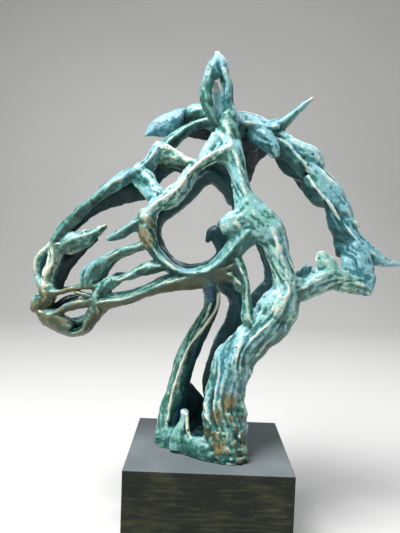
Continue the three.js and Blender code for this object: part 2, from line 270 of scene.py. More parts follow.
# Both bars are painted lighter than their patina, as in fuller light, the narrower one most.
lay_pair([
    (176, -92, 432, 60, 46),
    (166, -94, 398, 88, 50),
    (142, -96, 352, 103, 53),
    (103, -96, 306, 103, 53),
    (65, -98, 265, 98, 49),
    (45, -98, 219, 99, 49),
    (34, -98, 168, 101, 49),
    (34, -100, 118, 104, 47),
    (41, -100, 68, 107, 45),
    (46, -100, -13, 107, 45),
], cup=10, dark=-0.1, **trunk)
lay_pair([
    (107, -92, 600, 63, 45),
    (136, -94, 560, 63, 53),
    (152, -94, 514, 54, 53),
    (167, -94, 468, 54, 53),
    (174, -94, 427, 73, 57),
    (156, -96, 382, 98, 57),
], cup=6, dark=-0.45, **trunk)

# Struts of the neck
# One bar on each side stands in front of the neck's long holes, slender on the near side, with a short
# branch, and broad on the far side, which is painted darker as it lies in shade.

lay_bar([
    (48, -88, 500, 30, 34),
    (62, -90, 469, 32, 36),
    (74, -90, 437, 22, 33),
    (78, -91, 406, 22, 33),
    (82, -96, 362, 32, 32),
    (100, -90, 330, 34, 22),
], edge=1.3, gilt=0.4, blue=0.1, run=0.6, dark=0.1)
lay_bar([(20, -86, 470, 20, 34), (45, -84, 455, 26, 34), (66, -86, 432, 26, 30)],
        edge=1.3, gilt=0.6, blue=0.0)
lay_bar([
    (29, 86, 429, 56, 33),
    (64, 90, 396, 56, 33),
    (77, 92, 357, 62, 33),
    (71, 94, 308, 74, 37),
    (43, 98, 245, 80, 41),
], gilt=0.0, blue=0.5, run=0.5, dark=0.3)

# Throat
# A ridged bar on the middle line, from behind the jaw down to the point of the foot. Its back is painted
# in deep blue shade, with a patch of painted blue shade near the top on the near side, and a fine ridge down
# its side is rubbed through to bright metal and painted lighter still, as a highlight.

lay_bar([
    (-20, -20, 442, 36, 70),
    (-6, -12, 411, 42, 57),
    (-9, -6, 368, 39, 53),
    (-28, -2, 321, 42, 53),
    (-51, 0, 274, 48, 53),
    (-70, 0, 225, 53, 57),
    (-93, 0, 127, 53, 57),
    (-108, 0, 80, 54, 61),
    (-120, 0, -2, 50, 74),
], edge=1.25, gilt=0.4, blue=0.0, run=0.4, crest=0.0)
lay_bar([
    (4, -6, 400, 28, 50),
    (2, -2, 368, 26, 48),
    (-18, 2, 321, 28, 48),
    (-41, 4, 274, 32, 48),
    (-60, 4, 225, 36, 50),
    (-76, 4, 158, 38, 50),
    (-86, 4, 100, 38, 50),
    (-96, 4, 30, 38, 50),
], edge=1.8, gilt=0.0, blue=1.0, dark=0.9, run=0.4, crest=0.0)
lay_bar([(-19, -50, 436, 28, 20), (-13, -46, 416, 32, 20), (-8, -38, 392, 20, 14)],
        edge=2, gilt=0.0, blue=1.4, dark=0.72, run=0.3, pitted=0.0, crest=0.0)
lay_ridge([
    (11, -52, 414),
    (6, -40, 371),
    (-28, -34, 314),
    (-58, -32, 271),
    (-79, -30, 217),
    (-95, -30, 158),
    (-104, -30, 115),
    (-108, -30, 72),
], blue=0.0, dark=-0.6)

# Foot
# A rim on each side from the point of the foot to the neck, a hook that stands up in the near notch, the
# wall behind the notch, the floor, and the nape that closes the back of the hollow neck. Crumbs of wax are
# pressed on the bulge of the near side. The rims are painted a little darker, as in shade, and the wall and
# the floor nearly black, as deep shade in the hollow.

CRUMBS = 44
BULGE_MIDDLE = 41
BULGE_HALF = 52
BULGE_FROM = -95
BULGE_DEPTH = 23
BULGE_EDGE = 1.45
BULGE_FULLNESS = 0.69

lay_pair([
    (-124, -8, 14, 46, 45),
    (-85, -37, 11, 84, 45),
    (-42, -68, 7, 82, 45),
    (3, -90, 8, 74, 50),
    (50, -101, 8, 64, 50),
    (80, -98, 8, 60, 46),
], edge=2, gilt=0.25, blue=0.35, run=0.3, dark=0.15, crest=0.0)
lay_bar([
    (-64, -55, 104, 23, 25),
    (-66, -53, 77, 22, 27),
    (-75, -57, 46, 38, 29),
    (-73, -61, 11, 64, 33),
], edge=1.8, gilt=0.2, blue=0.3, run=0.3, crest=0.0)
# The ridge is painted lighter, as a highlight, over its rubbed gilt.
lay_ridge([
    (-60, -66, 104),
    (-57, -68, 85),
    (-56, -70, 66),
    (-50, -74, 50),
    (-38, -82, 40),
    (-22, -92, 34),
    (-6, -100, 36),
], blue=0.2, dark=-0.6)
for _ in range(CRUMBS):
    aside = rng.uniform(-0.85, 0.85)
    bulge = BULGE_DEPTH * (1 - abs(aside) ** BULGE_EDGE) ** BULGE_FULLNESS
    lay_dab(BULGE_MIDDLE + BULGE_HALF * aside, BULGE_FROM - bulge, rng.uniform(14, 130),
            rng.uniform(10, 26), rng.uniform(5, 13),
            gilt=rng.uniform(0.1, 1.3), blue=0.3, dark=rng.uniform(-0.5, 0.5))
lay_bar([(-83, 29, 17, 60, 20), (-57, 53, 48, 111, 20), (-14, 78, 81, 158, 25)], gilt=0.1, blue=0.7, dark=0.9)
lay_bar([(-100, 0, 2, 40, 40), (-50, 0, 4, 110, 44), (0, 0, 4, 180, 44), (60, 0, 4, 190, 40)],
        faces=(0, 0, 1), gilt=0.7, blue=0.3, dark=0.9, run=1.5)
lay_bar([
    (80, 0, -10, 205, 34),
    (78, 0, 60, 200, 32),
    (74, 0, 130, 190, 30),
    (84, 0, 200, 175, 28),
    (118, 0, 260, 150, 26),
    (160, 0, 310, 110, 22),
], faces=(1, 0, -0.4), gilt=0.35, blue=0.3, run=1.2)

# Jaw
# One long tapering bar a side, its lower face rubbed to olive gold, and the bridge that ties the two sides
# to the throat. Both are painted somewhat darker, as in shade, and the olive is laid darkest where the faces
# look down, as painted shade.

lay_pair([
    (54, -78, 481, 54, 45),
    (15, -79, 469, 49, 47),
    (-26, -81, 455, 49, 49),
    (-68, -82, 444, 45, 49),
    (-107, -80, 435, 37, 45),
    (-149, -76, 420, 30, 41),
    (-207, -68, 394, 25, 35),
    (-245, -61, 382, 25, 35),
    (-295, -53, 371, 33, 35),
], gilt=0.9, blue=0.1, run=0.7, dark=0.32, crest=0.0006)
lay_bar([(-18, -84, 452, 44, 40), (-16, 0, 446, 46, 40), (-18, 84, 452, 44, 40)], faces=(0, 0, 1),
        gilt=0.0, blue=0.9, dark=0.3)

# Eye sockets
# A brow above and a ring below on each side, heavily pitted where the wax was dabbed on, a rough gilded
# patch where they meet, and a spur that points forward over the cheek. The far brow is the deeper one.

# The near brow and the gilded patch are painted lighter, as in fuller light, and the far brow, the rings and
# the spur darker, as in shade.
lay_bar([
    (14, -74, 766, 34, 45),
    (-18, -80, 749, 24, 49),
    (-51, -84, 728, 22, 53),
    (-72, -86, 705, 27, 57),
    (-88, -88, 673, 36, 57),
    (-116, -90, 645, 41, 57),
    (-152, -90, 625, 34, 53),
    (-171, -88, 595, 39, 49),
], gilt=0.45, blue=0.45, run=1.3, dark=-0.4, pitted=1.0)
lay_bar([
    (47, 82, 658, 44, 41),
    (24, 82, 701, 50, 41),
    (-16, 82, 724, 55, 45),
    (-49, 84, 710, 50, 45),
    (-75, 86, 676, 39, 49),
    (-107, 88, 642, 39, 49),
    (-145, 88, 613, 39, 49),
    (-168, 88, 585, 36, 49),
], gilt=0.0, blue=0.4, run=0.5, dark=0.2)
lay_pair([
    (-171, -88, 600, 39, 49),
    (-172, -86, 566, 37, 49),
    (-162, -84, 532, 32, 49),
    (-139, -84, 498, 30, 49),
    (-108, -84, 472, 27, 49),
    (-63, -84, 461, 27, 49),
    (-19, -86, 471, 30, 49),
    (17, -88, 497, 37, 49),
    (45, -90, 530, 49, 49),
    (74, -94, 565, 58, 49),
], edge=1.25, gilt=0.3, blue=0.3, run=0.6, dark=0.2)
lay_pair([(-170, -90, 606, 42, 48), (-173, -89, 568, 40, 48), (-165, -87, 532, 33, 46)],
         edge=1.7, gilt=1.2, blue=0.2, run=0.8, dark=-0.2, pitted=1.0, crest=0.0)
lay_bar([
    (-171, -86, 590, 37, 33),
    (-205, -86, 574, 27, 27),
    (-239, -82, 553, 22, 20),
    (-267, -78, 539, 12, 13),
], gilt=0.1, blue=0.3, dark=0.25)

# Temple
# The post comes down each side from the poll, with a web in the corner of the brow, and spreads into a
# broad knot at the temple, its back edge a thin bright line of painted light with some wear. The post and
# the knot are painted lighter, as in fuller light. A curl stands up in the far eye, painted darker as in
# shade.

lay_pair([
    (10, -56, 832, 46, 44),
    (14, -63, 806, 56, 50),
    (16, -70, 776, 72, 49),
    (37, -78, 739, 46, 49),
    (48, -84, 700, 37, 49),
    (59, -88, 662, 44, 49),
    (77, -92, 619, 78, 45),
], gilt=0.3, blue=0.5, run=0.5, dark=-0.45, crest=0.0007)
lay_pair([
    (16, -96, 580, 40, 34),
    (34, -98, 583, 62, 42),
    (62, -97, 589, 73, 45),
    (102, -94, 595, 68, 45),
    (130, -94, 572, 63, 49),
], edge=1.9, gilt=0.3, blue=0.5, run=0.5, dark=-0.5, pitted=0.4, crest=0.0)
lay_pair([
    (68, -98, 642, 36, 34),
    (82, -101, 614, 64, 38),
    (103, -102, 587, 74, 42),
    (120, -101, 566, 60, 40),
], edge=1.8, gilt=0.3, blue=0.5, run=0.5, dark=-0.5, pitted=0.5, crest=0.0)
lay_dab(44, -112, 592, 26, 22, gilt=0.9, blue=0.1, dark=-0.8)
lay_bar([(37, 86, 469, 34, 26), (22, 84, 507, 32, 24), (13, 82, 546, 44, 26), (-4, 80, 572, 44, 24)],
        gilt=0.0, blue=0.8, run=0.5, dark=0.3)
lay_bar([(4, 80, 574, 30, 20), (-12, 79, 564, 28, 18), (-22, 78, 541, 12, 12)],
        gilt=0.0, blue=0.8, run=0.5, dark=0.3)
lay_pair([
    (-14, -66, 802, 22, 34),
    (-21, -70, 777, 34, 34),
    (-32, -74, 754, 34, 34),
    (-49, -78, 736, 22, 30),
], edge=1.8, gilt=0.3, blue=0.4, run=0.5, dark=-0.3, crest=0.0)
lay_bar([
    (90, -92, 650, 5, 12),
    (113, -98, 624, 5, 12),
    (139, -104, 604, 5, 12),
    (160, -106, 575, 5, 12),
    (164, -106, 530, 5, 12),
    (178, -104, 501, 5, 12),
    (194, -102, 475, 5, 12),
], edge=1.3, gilt=0.3, blue=0.4, run=0.5, dark=-0.9, crest=0.0)

# Poll
# The knot that ties both posts together and carries the ears and the crest, with a green knob under the
# near ear, painted a little darker as in shade.

lay_bar([(19, -58, 804, 50, 50), (22, 0, 822, 62, 56), (19, 58, 804, 50, 50)], faces=(0, 0, 1),
        gilt=0.3, blue=0.4, crest=0.0)
lay_bar([(14, -62, 852, 30, 34), (17, -68, 826, 40, 40), (22, -70, 798, 34, 34)],
        edge=1.8, gilt=0.25, blue=0.0, run=0.4, dark=0.25, crest=0.0)

# Cheeks
# Two tapering bars a side from the eye ring to the corner of the mouth, and the short bar that closes the
# mouth behind the lips. The two tapering bars are painted a little darker, as in shade.

lay_pair([
    (-159, -84, 534, 29, 37),
    (-194, -80, 523, 22, 33),
    (-229, -74, 512, 22, 29),
    (-265, -68, 493, 22, 29),
    (-295, -61, 471, 35, 29),
    (-316, -57, 445, 45, 29),
    (-321, -55, 422, 30, 27),
], gilt=0.5, blue=0.3, dark=0.2, crest=0.0008)
lay_pair([
    (-133, -84, 476, 25, 37),
    (-173, -80, 469, 30, 29),
    (-208, -74, 453, 20, 25),
    (-235, -70, 441, 15, 23),
    (-261, -66, 432, 28, 25),
    (-284, -59, 413, 30, 27),
], gilt=0.5, blue=0.2, dark=0.2, crest=0.0008)
lay_pair([(-287, -57, 421, 23, 27), (-297, -55, 392, 35, 29), (-297, -51, 361, 36, 31)], gilt=0.7, blue=0.1)

# Lips and chin
# Thin ridged bars drawn out to the front of the mouth, each lip folded back on itself, and the loop of the
# chin below them.

# The lips are painted a little darker, as in shade.
lips = dict(gilt=1.0, blue=0.15, dark=0.25, crest=0.0007)
lay_pair([
    (-292, -57, 415, 20, 25),
    (-326, -53, 419, 18, 25),
    (-361, -45, 409, 13, 20),
    (-394, -35, 399, 13, 23),
    (-426, -23, 394, 23, 33),
], **lips)
lay_bar([(-295, -53, 389, 20, 20), (-321, -49, 393, 12, 18), (-353, -45, 401, 10, 16)], **lips)
lay_bar([(-435, -12, 410, 31, 53), (-435, -8, 381, 45, 61), (-455, -4, 364, 45, 57), (-469, 0, 347, 24, 45)],
        edge=2, **lips)
lay_pair([
    (-442, -8, 325, 20, 45),
    (-413, -18, 338, 21, 37),
    (-382, -29, 357, 21, 29),
    (-344, -39, 370, 20, 27),
    (-303, -49, 381, 23, 29),
], **lips)
lay_bar([
    (-440, -6, 319, 26, 53),
    (-418, -8, 313, 34, 57),
    (-391, -10, 295, 24, 61),
    (-359, -12, 289, 20, 61),
    (-331, -18, 305, 26, 57),
    (-316, -31, 331, 36, 49),
    (-298, -45, 357, 36, 37),
], **lips)
lay_bar([(-331, 12, 305, 24, 40), (-316, 31, 331, 28, 40), (-298, 45, 357, 30, 37)], **lips)
lay_bar([
    (-453, -8, 338, 24, 50),
    (-431, -10, 328, 42, 56),
    (-404, -12, 319, 42, 54),
    (-375, -12, 302, 26, 50),
], edge=1.9, gilt=1.2, blue=0.0, run=0.4, dark=0.2, crest=0.0)
# Inside the mouth on the far side: painted nearly black, as deep shade.
lay_bar([(-430, 6, 345, 14, 30), (-410, 8, 362, 18, 24), (-388, 9, 376, 16, 20), (-360, 10, 385, 10, 16)],
        gilt=0.0, blue=0.2, run=0.3, dark=1.0, crest=0.0)
lay_bar([(-390, 4, 317, 24, 20), (-366, 6, 307, 24, 20), (-346, 8, 315, 21, 20)], gilt=0.1, blue=0.3, run=0.5)
# Painted dark, as shade inside the mouth.
lay_bar([(-413, 20, 324, 24, 16), (-386, 18, 309, 32, 16), (-359, 20, 310, 32, 16), (-339, 26, 323, 24, 16)],
        gilt=0.0, blue=0.5, run=0.4, dark=0.7)

# Muzzle
# The bar in front of the cheek gap, painted pale as in full light, the open loop of each nostril, the wall on
# the far side and a far loop beside it, painted nearly black as deep shade, and the thorn that points back
# from the near bar.

lay_pair([
    (-416, -29, 519, 31, 25),
    (-416, -29, 485, 28, 25),
    (-424, -27, 456, 28, 25),
    (-437, -23, 430, 26, 27),
    (-438, -18, 400, 31, 33),
], gilt=0.8, blue=0.0, run=1.3, dark=-0.85, pitted=0.8)
lay_pair([
    (-425, -25, 511, 18, 18),
    (-446, -25, 499, 18, 18),
    (-462, -20, 478, 13, 18),
    (-465, -18, 454, 13, 18),
    (-459, -18, 428, 18, 20),
    (-446, -16, 405, 26, 29),
], gilt=0.5, blue=0.2, run=0.6)
lay_bar([
    (-320, 24, 540, 19, 14),
    (-352, 26, 517, 35, 16),
    (-386, 27, 486, 46, 18),
    (-412, 26, 456, 51, 18),
    (-421, 22, 424, 51, 18),
    (-412, 18, 400, 24, 18),
], gilt=0.0, blue=0.8, run=0.4, dark=1.0)
lay_bar([(-451, 18, 495, 19, 14), (-455, 16, 471, 32, 14), (-459, 14, 444, 29, 14), (-461, 12, 420, 16, 14)],
        gilt=0.0, blue=0.3, run=0.4, dark=0.9)
lay_bar([
    (-411, -29, 516, 33, 27),
    (-380, -29, 520, 51, 25),
    (-350, -27, 531, 49, 23),
    (-318, -25, 548, 30, 20),
    (-287, -20, 571, 11, 13),
], edge=1.3, gilt=0.6, blue=0.2, dark=0.12, pitted=0.9)

# Bridge of the nose
# A ridge on the near side, a deeper wall on the far side, painted dark as in shade, the roof between them,
# and on each side the web that ties the bridge to the brow.

lay_bar([
    (-145, -53, 771, 37, 33),
    (-171, -51, 738, 30, 33),
    (-199, -45, 713, 35, 33),
    (-244, -41, 689, 30, 29),
    (-287, -37, 658, 23, 25),
    (-310, -35, 640, 14, 18),
], gilt=0.4, blue=0.6, dark=0.05, crest=0.0009)
# The lower run of the near ridge is painted darker, as in shade.
lay_bar([
    (-270, -38, 672, 16, 20),
    (-290, -37, 656, 23, 25),
    (-325, -33, 629, 24, 25),
    (-363, -31, 592, 29, 25),
    (-394, -29, 558, 32, 25),
    (-414, -29, 524, 28, 27),
], gilt=0.6, blue=0.1, dark=0.4, crest=0.0009)
lay_bar([
    (-178, 57, 697, 92, 22),
    (-231, 51, 681, 81, 20),
    (-281, 45, 660, 70, 18),
    (-330, 39, 623, 42, 18),
    (-374, 33, 581, 34, 18),
    (-416, 25, 536, 31, 20),
], gilt=0.0, blue=0.4, run=0.5, dark=0.7)
lay_bar([
    (-140, 0, 776, 110, 20),
    (-204, 0, 722, 100, 20),
    (-287, 0, 667, 80, 18),
    (-363, 0, 602, 64, 18),
    (-418, 0, 526, 52, 22),
], faces=(-0.5, 0, 0.87), gilt=0.3, blue=0.6)
lay_pair([(-198, -49, 706, 62, 29), (-178, -66, 679, 46, 27), (-151, -84, 647, 44, 33)], gilt=0.5, blue=0.5)

# Brow knot
# Two arms a side where the bridge meets the brow, with the most gilded wax of the whole head, and the wall
# that faces them on the far side. The arms are painted lighter, as in full light, and the far wall a little
# darker, as in shade.

lay_pair([
    (-157, -53, 762, 40, 37),
    (-128, -59, 757, 38, 35),
    (-98, -68, 745, 21, 31),
    (-68, -78, 732, 16, 33),
    (-44, -84, 730, 20, 41),
], edge=1.7, gilt=0.6, blue=0.35, dark=-0.5, pitted=0.8, crest=0.0)
lay_bar([(-190, 61, 700, 66, 18), (-160, 66, 730, 58, 18), (-126, 70, 750, 44, 18), (-94, 78, 745, 46, 20)],
        gilt=0.0, blue=0.8, run=0.5, dark=0.2)

# Forehead
# A band from the top of the nose over to the poll, the forelock above it, and the far ear, a blunt blue
# leaf that lies flat against them behind a thin seam painted black as a shadow. The band is painted a little
# darker, as in shade, and a bar behind it on the far side nearly black, as deep shade.

lay_bar([
    (-141, -45, 772, 33, 37),
    (-110, -20, 803, 33, 37),
    (-76, -8, 832, 23, 41),
    (-38, -12, 842, 23, 49),
    (3, -33, 824, 35, 61),
], gilt=0.1, blue=0.2, dark=0.2)
lay_bar([(-101, 44, 836, 21, 24), (-69, 48, 835, 38, 30), (-37, 54, 835, 40, 30), (-12, 60, 832, 38, 30)],
        gilt=0.0, blue=0.5, run=0.5, dark=1.0)
lay_bar([(-23, -10, 863, 36, 34), (-47, 2, 875, 39, 34), (-70, 12, 875, 42, 32), (-88, 20, 869, 38, 28)],
        edge=1.8, gilt=0.2, blue=0.5, run=0.6, dark=0.0)
lay_bar([(-92, 14, 883, 5, 12), (-95, 11, 868, 7, 14), (-99, 12, 848, 6, 14)],
        gilt=0.0, blue=0.5, run=0.0, dark=1.0, pitted=0.0, crest=0.0)
lay_bar([
    (-84, 27, 874, 34, 26),
    (-99, 28, 867, 50, 28),
    (-122, 31, 854, 60, 30),
    (-149, 33, 841, 56, 28),
    (-175, 32, 831, 37, 24),
    (-195, 28, 815, 8, 10),
], edge=1.6, gilt=0.2, blue=1.0, run=0.4, dark=0.12, pitted=0.0)

# Near ear
# An open loop of two bars that part above the poll and meet at the tip, painted a little darker as in shade,
# with a thin plate inside it, painted pale as in light, and a pitted one across its top, painted darker.

ear = dict(gilt=0.3, run=0.9)
lay_bar([
    (-8, -61, 832, 22, 30),
    (-21, -66, 848, 26, 26),
    (-37, -76, 879, 28, 22),
    (-41, -80, 909, 30, 20),
    (-32, -78, 943, 32, 20),
    (-21, -74, 975, 31, 18),
    (-15, -70, 998, 10, 10),
], blue=0.3, dark=0.25, **ear)
lay_bar([
    (20, -57, 825, 49, 45),
    (24, -58, 849, 38, 36),
    (14, -62, 884, 28, 32),
    (13, -68, 919, 26, 28),
    (3, -72, 951, 26, 24),
    (-7, -72, 979, 24, 18),
    (-15, -70, 998, 10, 10),
], blue=0.6, dark=0.09, **ear)
lay_bar([(-4, -48, 842, 38, 14), (-8, -50, 872, 42, 12), (-13, -54, 900, 34, 10), (-21, -60, 930, 16, 8)],
        faces=(-0.5, -0.75, 0.4), blue=0.8, dark=-0.8, pitted=0.0, crest=0.0, **ear)
lay_bar([(-24, -77, 942, 30, 16), (-18, -75, 962, 34, 16), (-15, -71, 984, 22, 12)],
        edge=1.8, blue=0.5, dark=0.35, pitted=1.0, crest=0.0, **ear)

# Crest
# The arched mane, twisted like a strip of bark: flaps under a core, both painted dark as in shade, blades
# over it, painted a little lighter, with thin bright lines along their edges that are painted highlight with
# some wear. A horn, a tongue, a keel and a tail spring from it, and a strut goes down to the far post; the
# strut, a bar under the tongue and one behind the flaps on the far side are painted dark, as deep shade.

mane = dict(gilt=0.3, blue=0.7, run=1.1)
lay_bar([
    (19, -16, 838, 56, 90),
    (58, 0, 848, 57, 70),
    (95, 6, 841, 57, 53),
    (129, 6, 827, 56, 45),
    (167, 6, 802, 50, 41),
], **mane)
lay_bar([(50, -34, 842, 20, 24), (84, -30, 838, 18, 24), (120, -26, 834, 16, 20), (146, -20, 838, 10, 14)],
        **mane)
lay_bar([
    (150, 12, 806, 44, 30),
    (196, 13, 764, 58, 28),
    (238, 13, 722, 54, 26),
    (279, 13, 677, 46, 26),
    (320, 11, 626, 42, 26),
    (346, 6, 570, 44, 30),
], gilt=0.0, blue=0.4, run=0.6, dark=0.7, crest=0.0)
under_in_painted_shade = dict(faces=(-0.4, -0.9, -0.2), edge=1.7, gilt=0.1, blue=0.4, run=1.0, dark=0.62, crest=0.0)
lay_bar([(146, 0, 796, 44, 34), (168, 0, 770, 54, 34), (192, 0, 744, 52, 32), (212, 0, 719, 26, 22)], **under_in_painted_shade)
lay_bar([(226, 0, 712, 30, 28), (242, 0, 686, 42, 30), (262, 0, 662, 38, 28), (284, 0, 645, 12, 16)], **under_in_painted_shade)
lay_bar([(292, 0, 648, 22, 26), (309, -2, 608, 38, 30), (328, -3, 570, 54, 34), (346, -6, 532, 68, 38)],
        **under_in_painted_shade)
lay_bar([
    (352, -12, 540, 58, 40),
    (363, -13, 516, 74, 44),
    (372, -14, 480, 74, 44),
    (389, -15, 447, 56, 36),
    (400, -16, 424, 26, 22),
], edge=1.8, gilt=0.2, blue=1.0, run=0.7, dark=-0.2, crest=0.0)
over = dict(faces=(0.3, -0.95, 0.1), edge=1.6, gilt=0.35, blue=0.6, run=1.0, crest=0.0009)
lay_bar([
    (150, -6, 818, 34, 30),
    (180, -9, 799, 38, 32),
    (208, -10, 783, 46, 32),
    (236, -10, 767, 48, 28),
    (256, -8, 752, 30, 20),
    (267, -6, 736, 5, 8),
], dark=-0.2, **over)
lay_bar([
    (226, -6, 752, 30, 28),
    (256, -10, 724, 48, 32),
    (288, -11, 690, 54, 30),
    (318, -11, 653, 42, 26),
    (340, -10, 626, 24, 18),
    (353, -8, 607, 5, 8),
], dark=-0.2, **over)
lay_bar([(329, -8, 621, 23, 18), (350, -10, 604, 20, 14), (370, -10, 597, 5, 6)], dark=-0.2, **over)
lay_bar([
    (330, -6, 608, 32, 28),
    (347, -6, 580, 40, 28),
    (377, -8, 547, 42, 26),
    (408, -8, 519, 40, 22),
    (445, -8, 503, 20, 16),
    (479, -8, 500, 9, 11),
], dark=0.15, **over)
worn_and_highlight_line = dict(gilt=0.4, blue=0.5, run=0.6, dark=-0.9, crest=0.0)
lay_bar([(139, -17, 814, 5, 10), (175, -20, 795, 10, 12), (186, -21, 781, 5, 10), (199, -20, 768, 7, 12),
         (224, -19, 744, 11, 12), (240, -18, 732, 5, 8)], **worn_and_highlight_line)
lay_bar([(228, -14, 721, 5, 8), (244, -18, 697, 10, 12), (254, -20, 684, 5, 10), (266, -20, 671, 6, 12),
         (290, -20, 646, 10, 12), (314, -18, 612, 5, 8)], **worn_and_highlight_line)
lay_bar([(322, -16, 606, 5, 8), (349, -19, 573, 9, 12), (371, -19, 552, 5, 10), (411, -16, 523, 8, 10),
         (440, -12, 508, 4, 6)], **worn_and_highlight_line)
lay_bar([
    (56, -18, 854, 38, 34),
    (85, -24, 832, 53, 32),
    (113, -28, 804, 48, 30),
    (132, -30, 784, 36, 26),
    (140, -30, 767, 26, 20),
], edge=1.7, gilt=0.2, blue=0.8, run=0.7, crest=0.0007)
lay_bar([(44, -8, 822, 40, 40), (72, -8, 804, 50, 40), (92, -8, 794, 40, 34)],
        gilt=0.0, blue=0.3, run=0.6, dark=1.0, crest=0.0)
lay_bar([(106, 31, 810, 76, 29), (92, 45, 785, 58, 29), (80, 61, 752, 43, 29), (72, 74, 713, 34, 33)],
        gilt=0.0, blue=0.4, dark=1.0)
lay_bar([
    (118, -4, 838, 34, 34),
    (145, -8, 843, 38, 32),
    (172, -10, 862, 23, 24),
    (195, -14, 884, 17, 18),
    (215, -16, 902, 13, 14),
    (229, -18, 913, 9, 10),
], gilt=0.15, blue=0.6, dark=0.1, crest=0.0008)
lay_bar([(170, 16, 763, 31, 25), (204, 20, 733, 32, 20), (239, 25, 693, 37, 20), (272, 25, 657, 19, 16)],
        gilt=0.0, blue=0.4, dark=0.7)

# Lower mane
# A bar from each side of the neck back to the end of the crest, with a flap standing up on the near one
# and a stump on the far one. The bars and the flap are painted lighter, as in full light, and the stump
# darker, as in shade.

lay_pair([
    (179, -90, 436, 64, 45),
    (218, -78, 432, 55, 37),
    (258, -61, 449, 55, 33),
    (300, -45, 457, 56, 33),
    (348, -29, 447, 51, 33),
    (394, -16, 434, 36, 27),
], gilt=0.5, blue=0.35, run=1.2, dark=-0.4, pitted=0.5)
lay_bar([(292, -49, 465, 70, 30), (281, -51, 494, 52, 24), (267, -53, 513, 32, 18), (262, -54, 525, 17, 12)],
        gilt=0.4, blue=0.3, dark=-0.4, pitted=0.5, crest=0.0)
lay_bar([(249, 66, 428, 50, 25), (253, 61, 459, 47, 25), (256, 57, 482, 27, 18)],
        gilt=0.0, blue=0.6, dark=0.3)

# The casting
# All the bars above, cast in bronze in one pour. The skin keeps the dabs and pits of the wax. It wears a
# painted copper patina, and the high edges are rubbed back to gold, with cream painted highlights on them.
# Light and shade are also painted into its colour.

DAB_SIZE = 0.007
DAB_HEIGHT = 0.0017
WORKED_DEPTH = 0.004
FOOT_TOP = 0.085
FOOT_FADE = 0.02
FOOT_ROUGHNESS = 2.2
FOOT_GILT = 0.8
FOOT_GREEN = 0.3
# The x, z and reach of each gilt patch, in thousandths of the head's height
GILT_PATCHES = ((42, 152, 24), (14, 118, 14), (22, 44, 16), (-6, 70, 12), (72, 28, 14))
PATCH_GILT = 0.9
MOST_TRIANGLES = 190_000


def read_between(lattice, place, smooth=False):
    """A lattice's value at places between its points, from the eight around each place"""
    i = np.clip(np.floor(place).astype(int), 0, np.array(lattice.shape) - 2)
    f = place - i
    if smooth:
        f = f * f * (3 - 2 * f)
    value = 0
    for corner in range(8):
        step = np.array([corner & 1, corner >> 1 & 1, corner >> 2 & 1])
        weight = np.prod(np.where(step, f, 1 - f), axis=1)
        a, b, c = (i + step).T
        value = value + weight * lattice[a, b, c]
    return value


def dabs(points, size, seed):
    """Smooth bumps from 0 to 1 of about this size, anywhere in space"""
    span = np.ceil((head_high - head_low + 4 * MARGIN) / size).astype(int) + 2
    lattice = np.random.default_rng(seed).random(span)
    return read_between(lattice, (points - clay_low + MARGIN) / size, smooth=True)


skin = np.nonzero(np.abs(clay) < WORKED_DEPTH)
places = np.stack([axes[a][skin[a]] for a in range(3)], 1)
lumps = dabs(places, DAB_SIZE, 3) + 0.5 * dabs(places, DAB_SIZE / 2, 4) - 0.75
rough = 0.5 + pitting[skin]
low_down = np.clip(1 - (places[:, 2] - block_top) / FOOT_TOP, 0, 1)
at_foot = low_down * np.clip(places[:, 0] / FOOT_FADE + 0.8, 0, 1)
clay[skin] -= lumps * DAB_HEIGHT * (rough + FOOT_ROUGHNESS * at_foot)
gilding[skin] += FOOT_GILT * at_foot * np.clip(2 * lumps + 0.3, 0, 1)
for patch_x, patch_z, reach in GILT_PATCHES:
    apart = np.hypot(places[:, 0] / share - patch_x, (places[:, 2] - block_top) / share - patch_z)
    gilding[skin] += PATCH_GILT * np.exp(-(apart / reach) ** 2) * (places[:, 1] < 0)
blueness[skin] -= FOOT_GREEN * at_foot
below_seat = head_low[2] - axes[2][None, None, :]
clay[:] = np.maximum(clay, below_seat)

grid = openvdb.FloatGrid()
grid.background = FAR
grid.copyFromArray(clay)
corners, quads = grid.convertToQuads(isovalue=0.0)
corners = corners * GRAIN + clay_low
mesh = bpy.data.meshes.new("horse_head_bronze")
mesh.from_pydata(corners.tolist(), [], quads.tolist())
head = bpy.data.objects.new("horse_head_bronze", mesh)
bpy.context.scene.collection.objects.link(head)
thin = head.modifiers.new("thin", "DECIMATE")
thin.ratio = min(1.0, MOST_TRIANGLES / (2 * len(quads)))
bpy.context.view_layer.update()
thinned = bpy.data.meshes.new_from_object(head.evaluated_get(bpy.context.evaluated_depsgraph_get()))
head.modifiers.clear()
head.data = thinned
bpy.data.meshes.remove(mesh)
thinned.name = "horse_head_bronze"
thinned.shade_smooth()

# What the patina and its painted light and shade follow is kept on each vertex

RIDGE_REACH = 0.003
RIDGE_FULL = 0.0012
BRIM_REACH = 0.0075
BRIM_FULL = 0.004
MOST_DEPTH = 0.008
INNER_FROM = 0.016
INNER_FULL = 0.032


def blurred(values, cells):
    """The mean over a cube that reaches this many cells each way"""
    for axis in range(3):
        total = np.cumsum(values, axis=axis, dtype=np.float32)
        ahead = np.roll(total, -cells, axis=axis)
        behind = np.roll(total, cells + 1, axis=axis)
        values = (ahead - behind) / (2 * cells + 1)
    return values


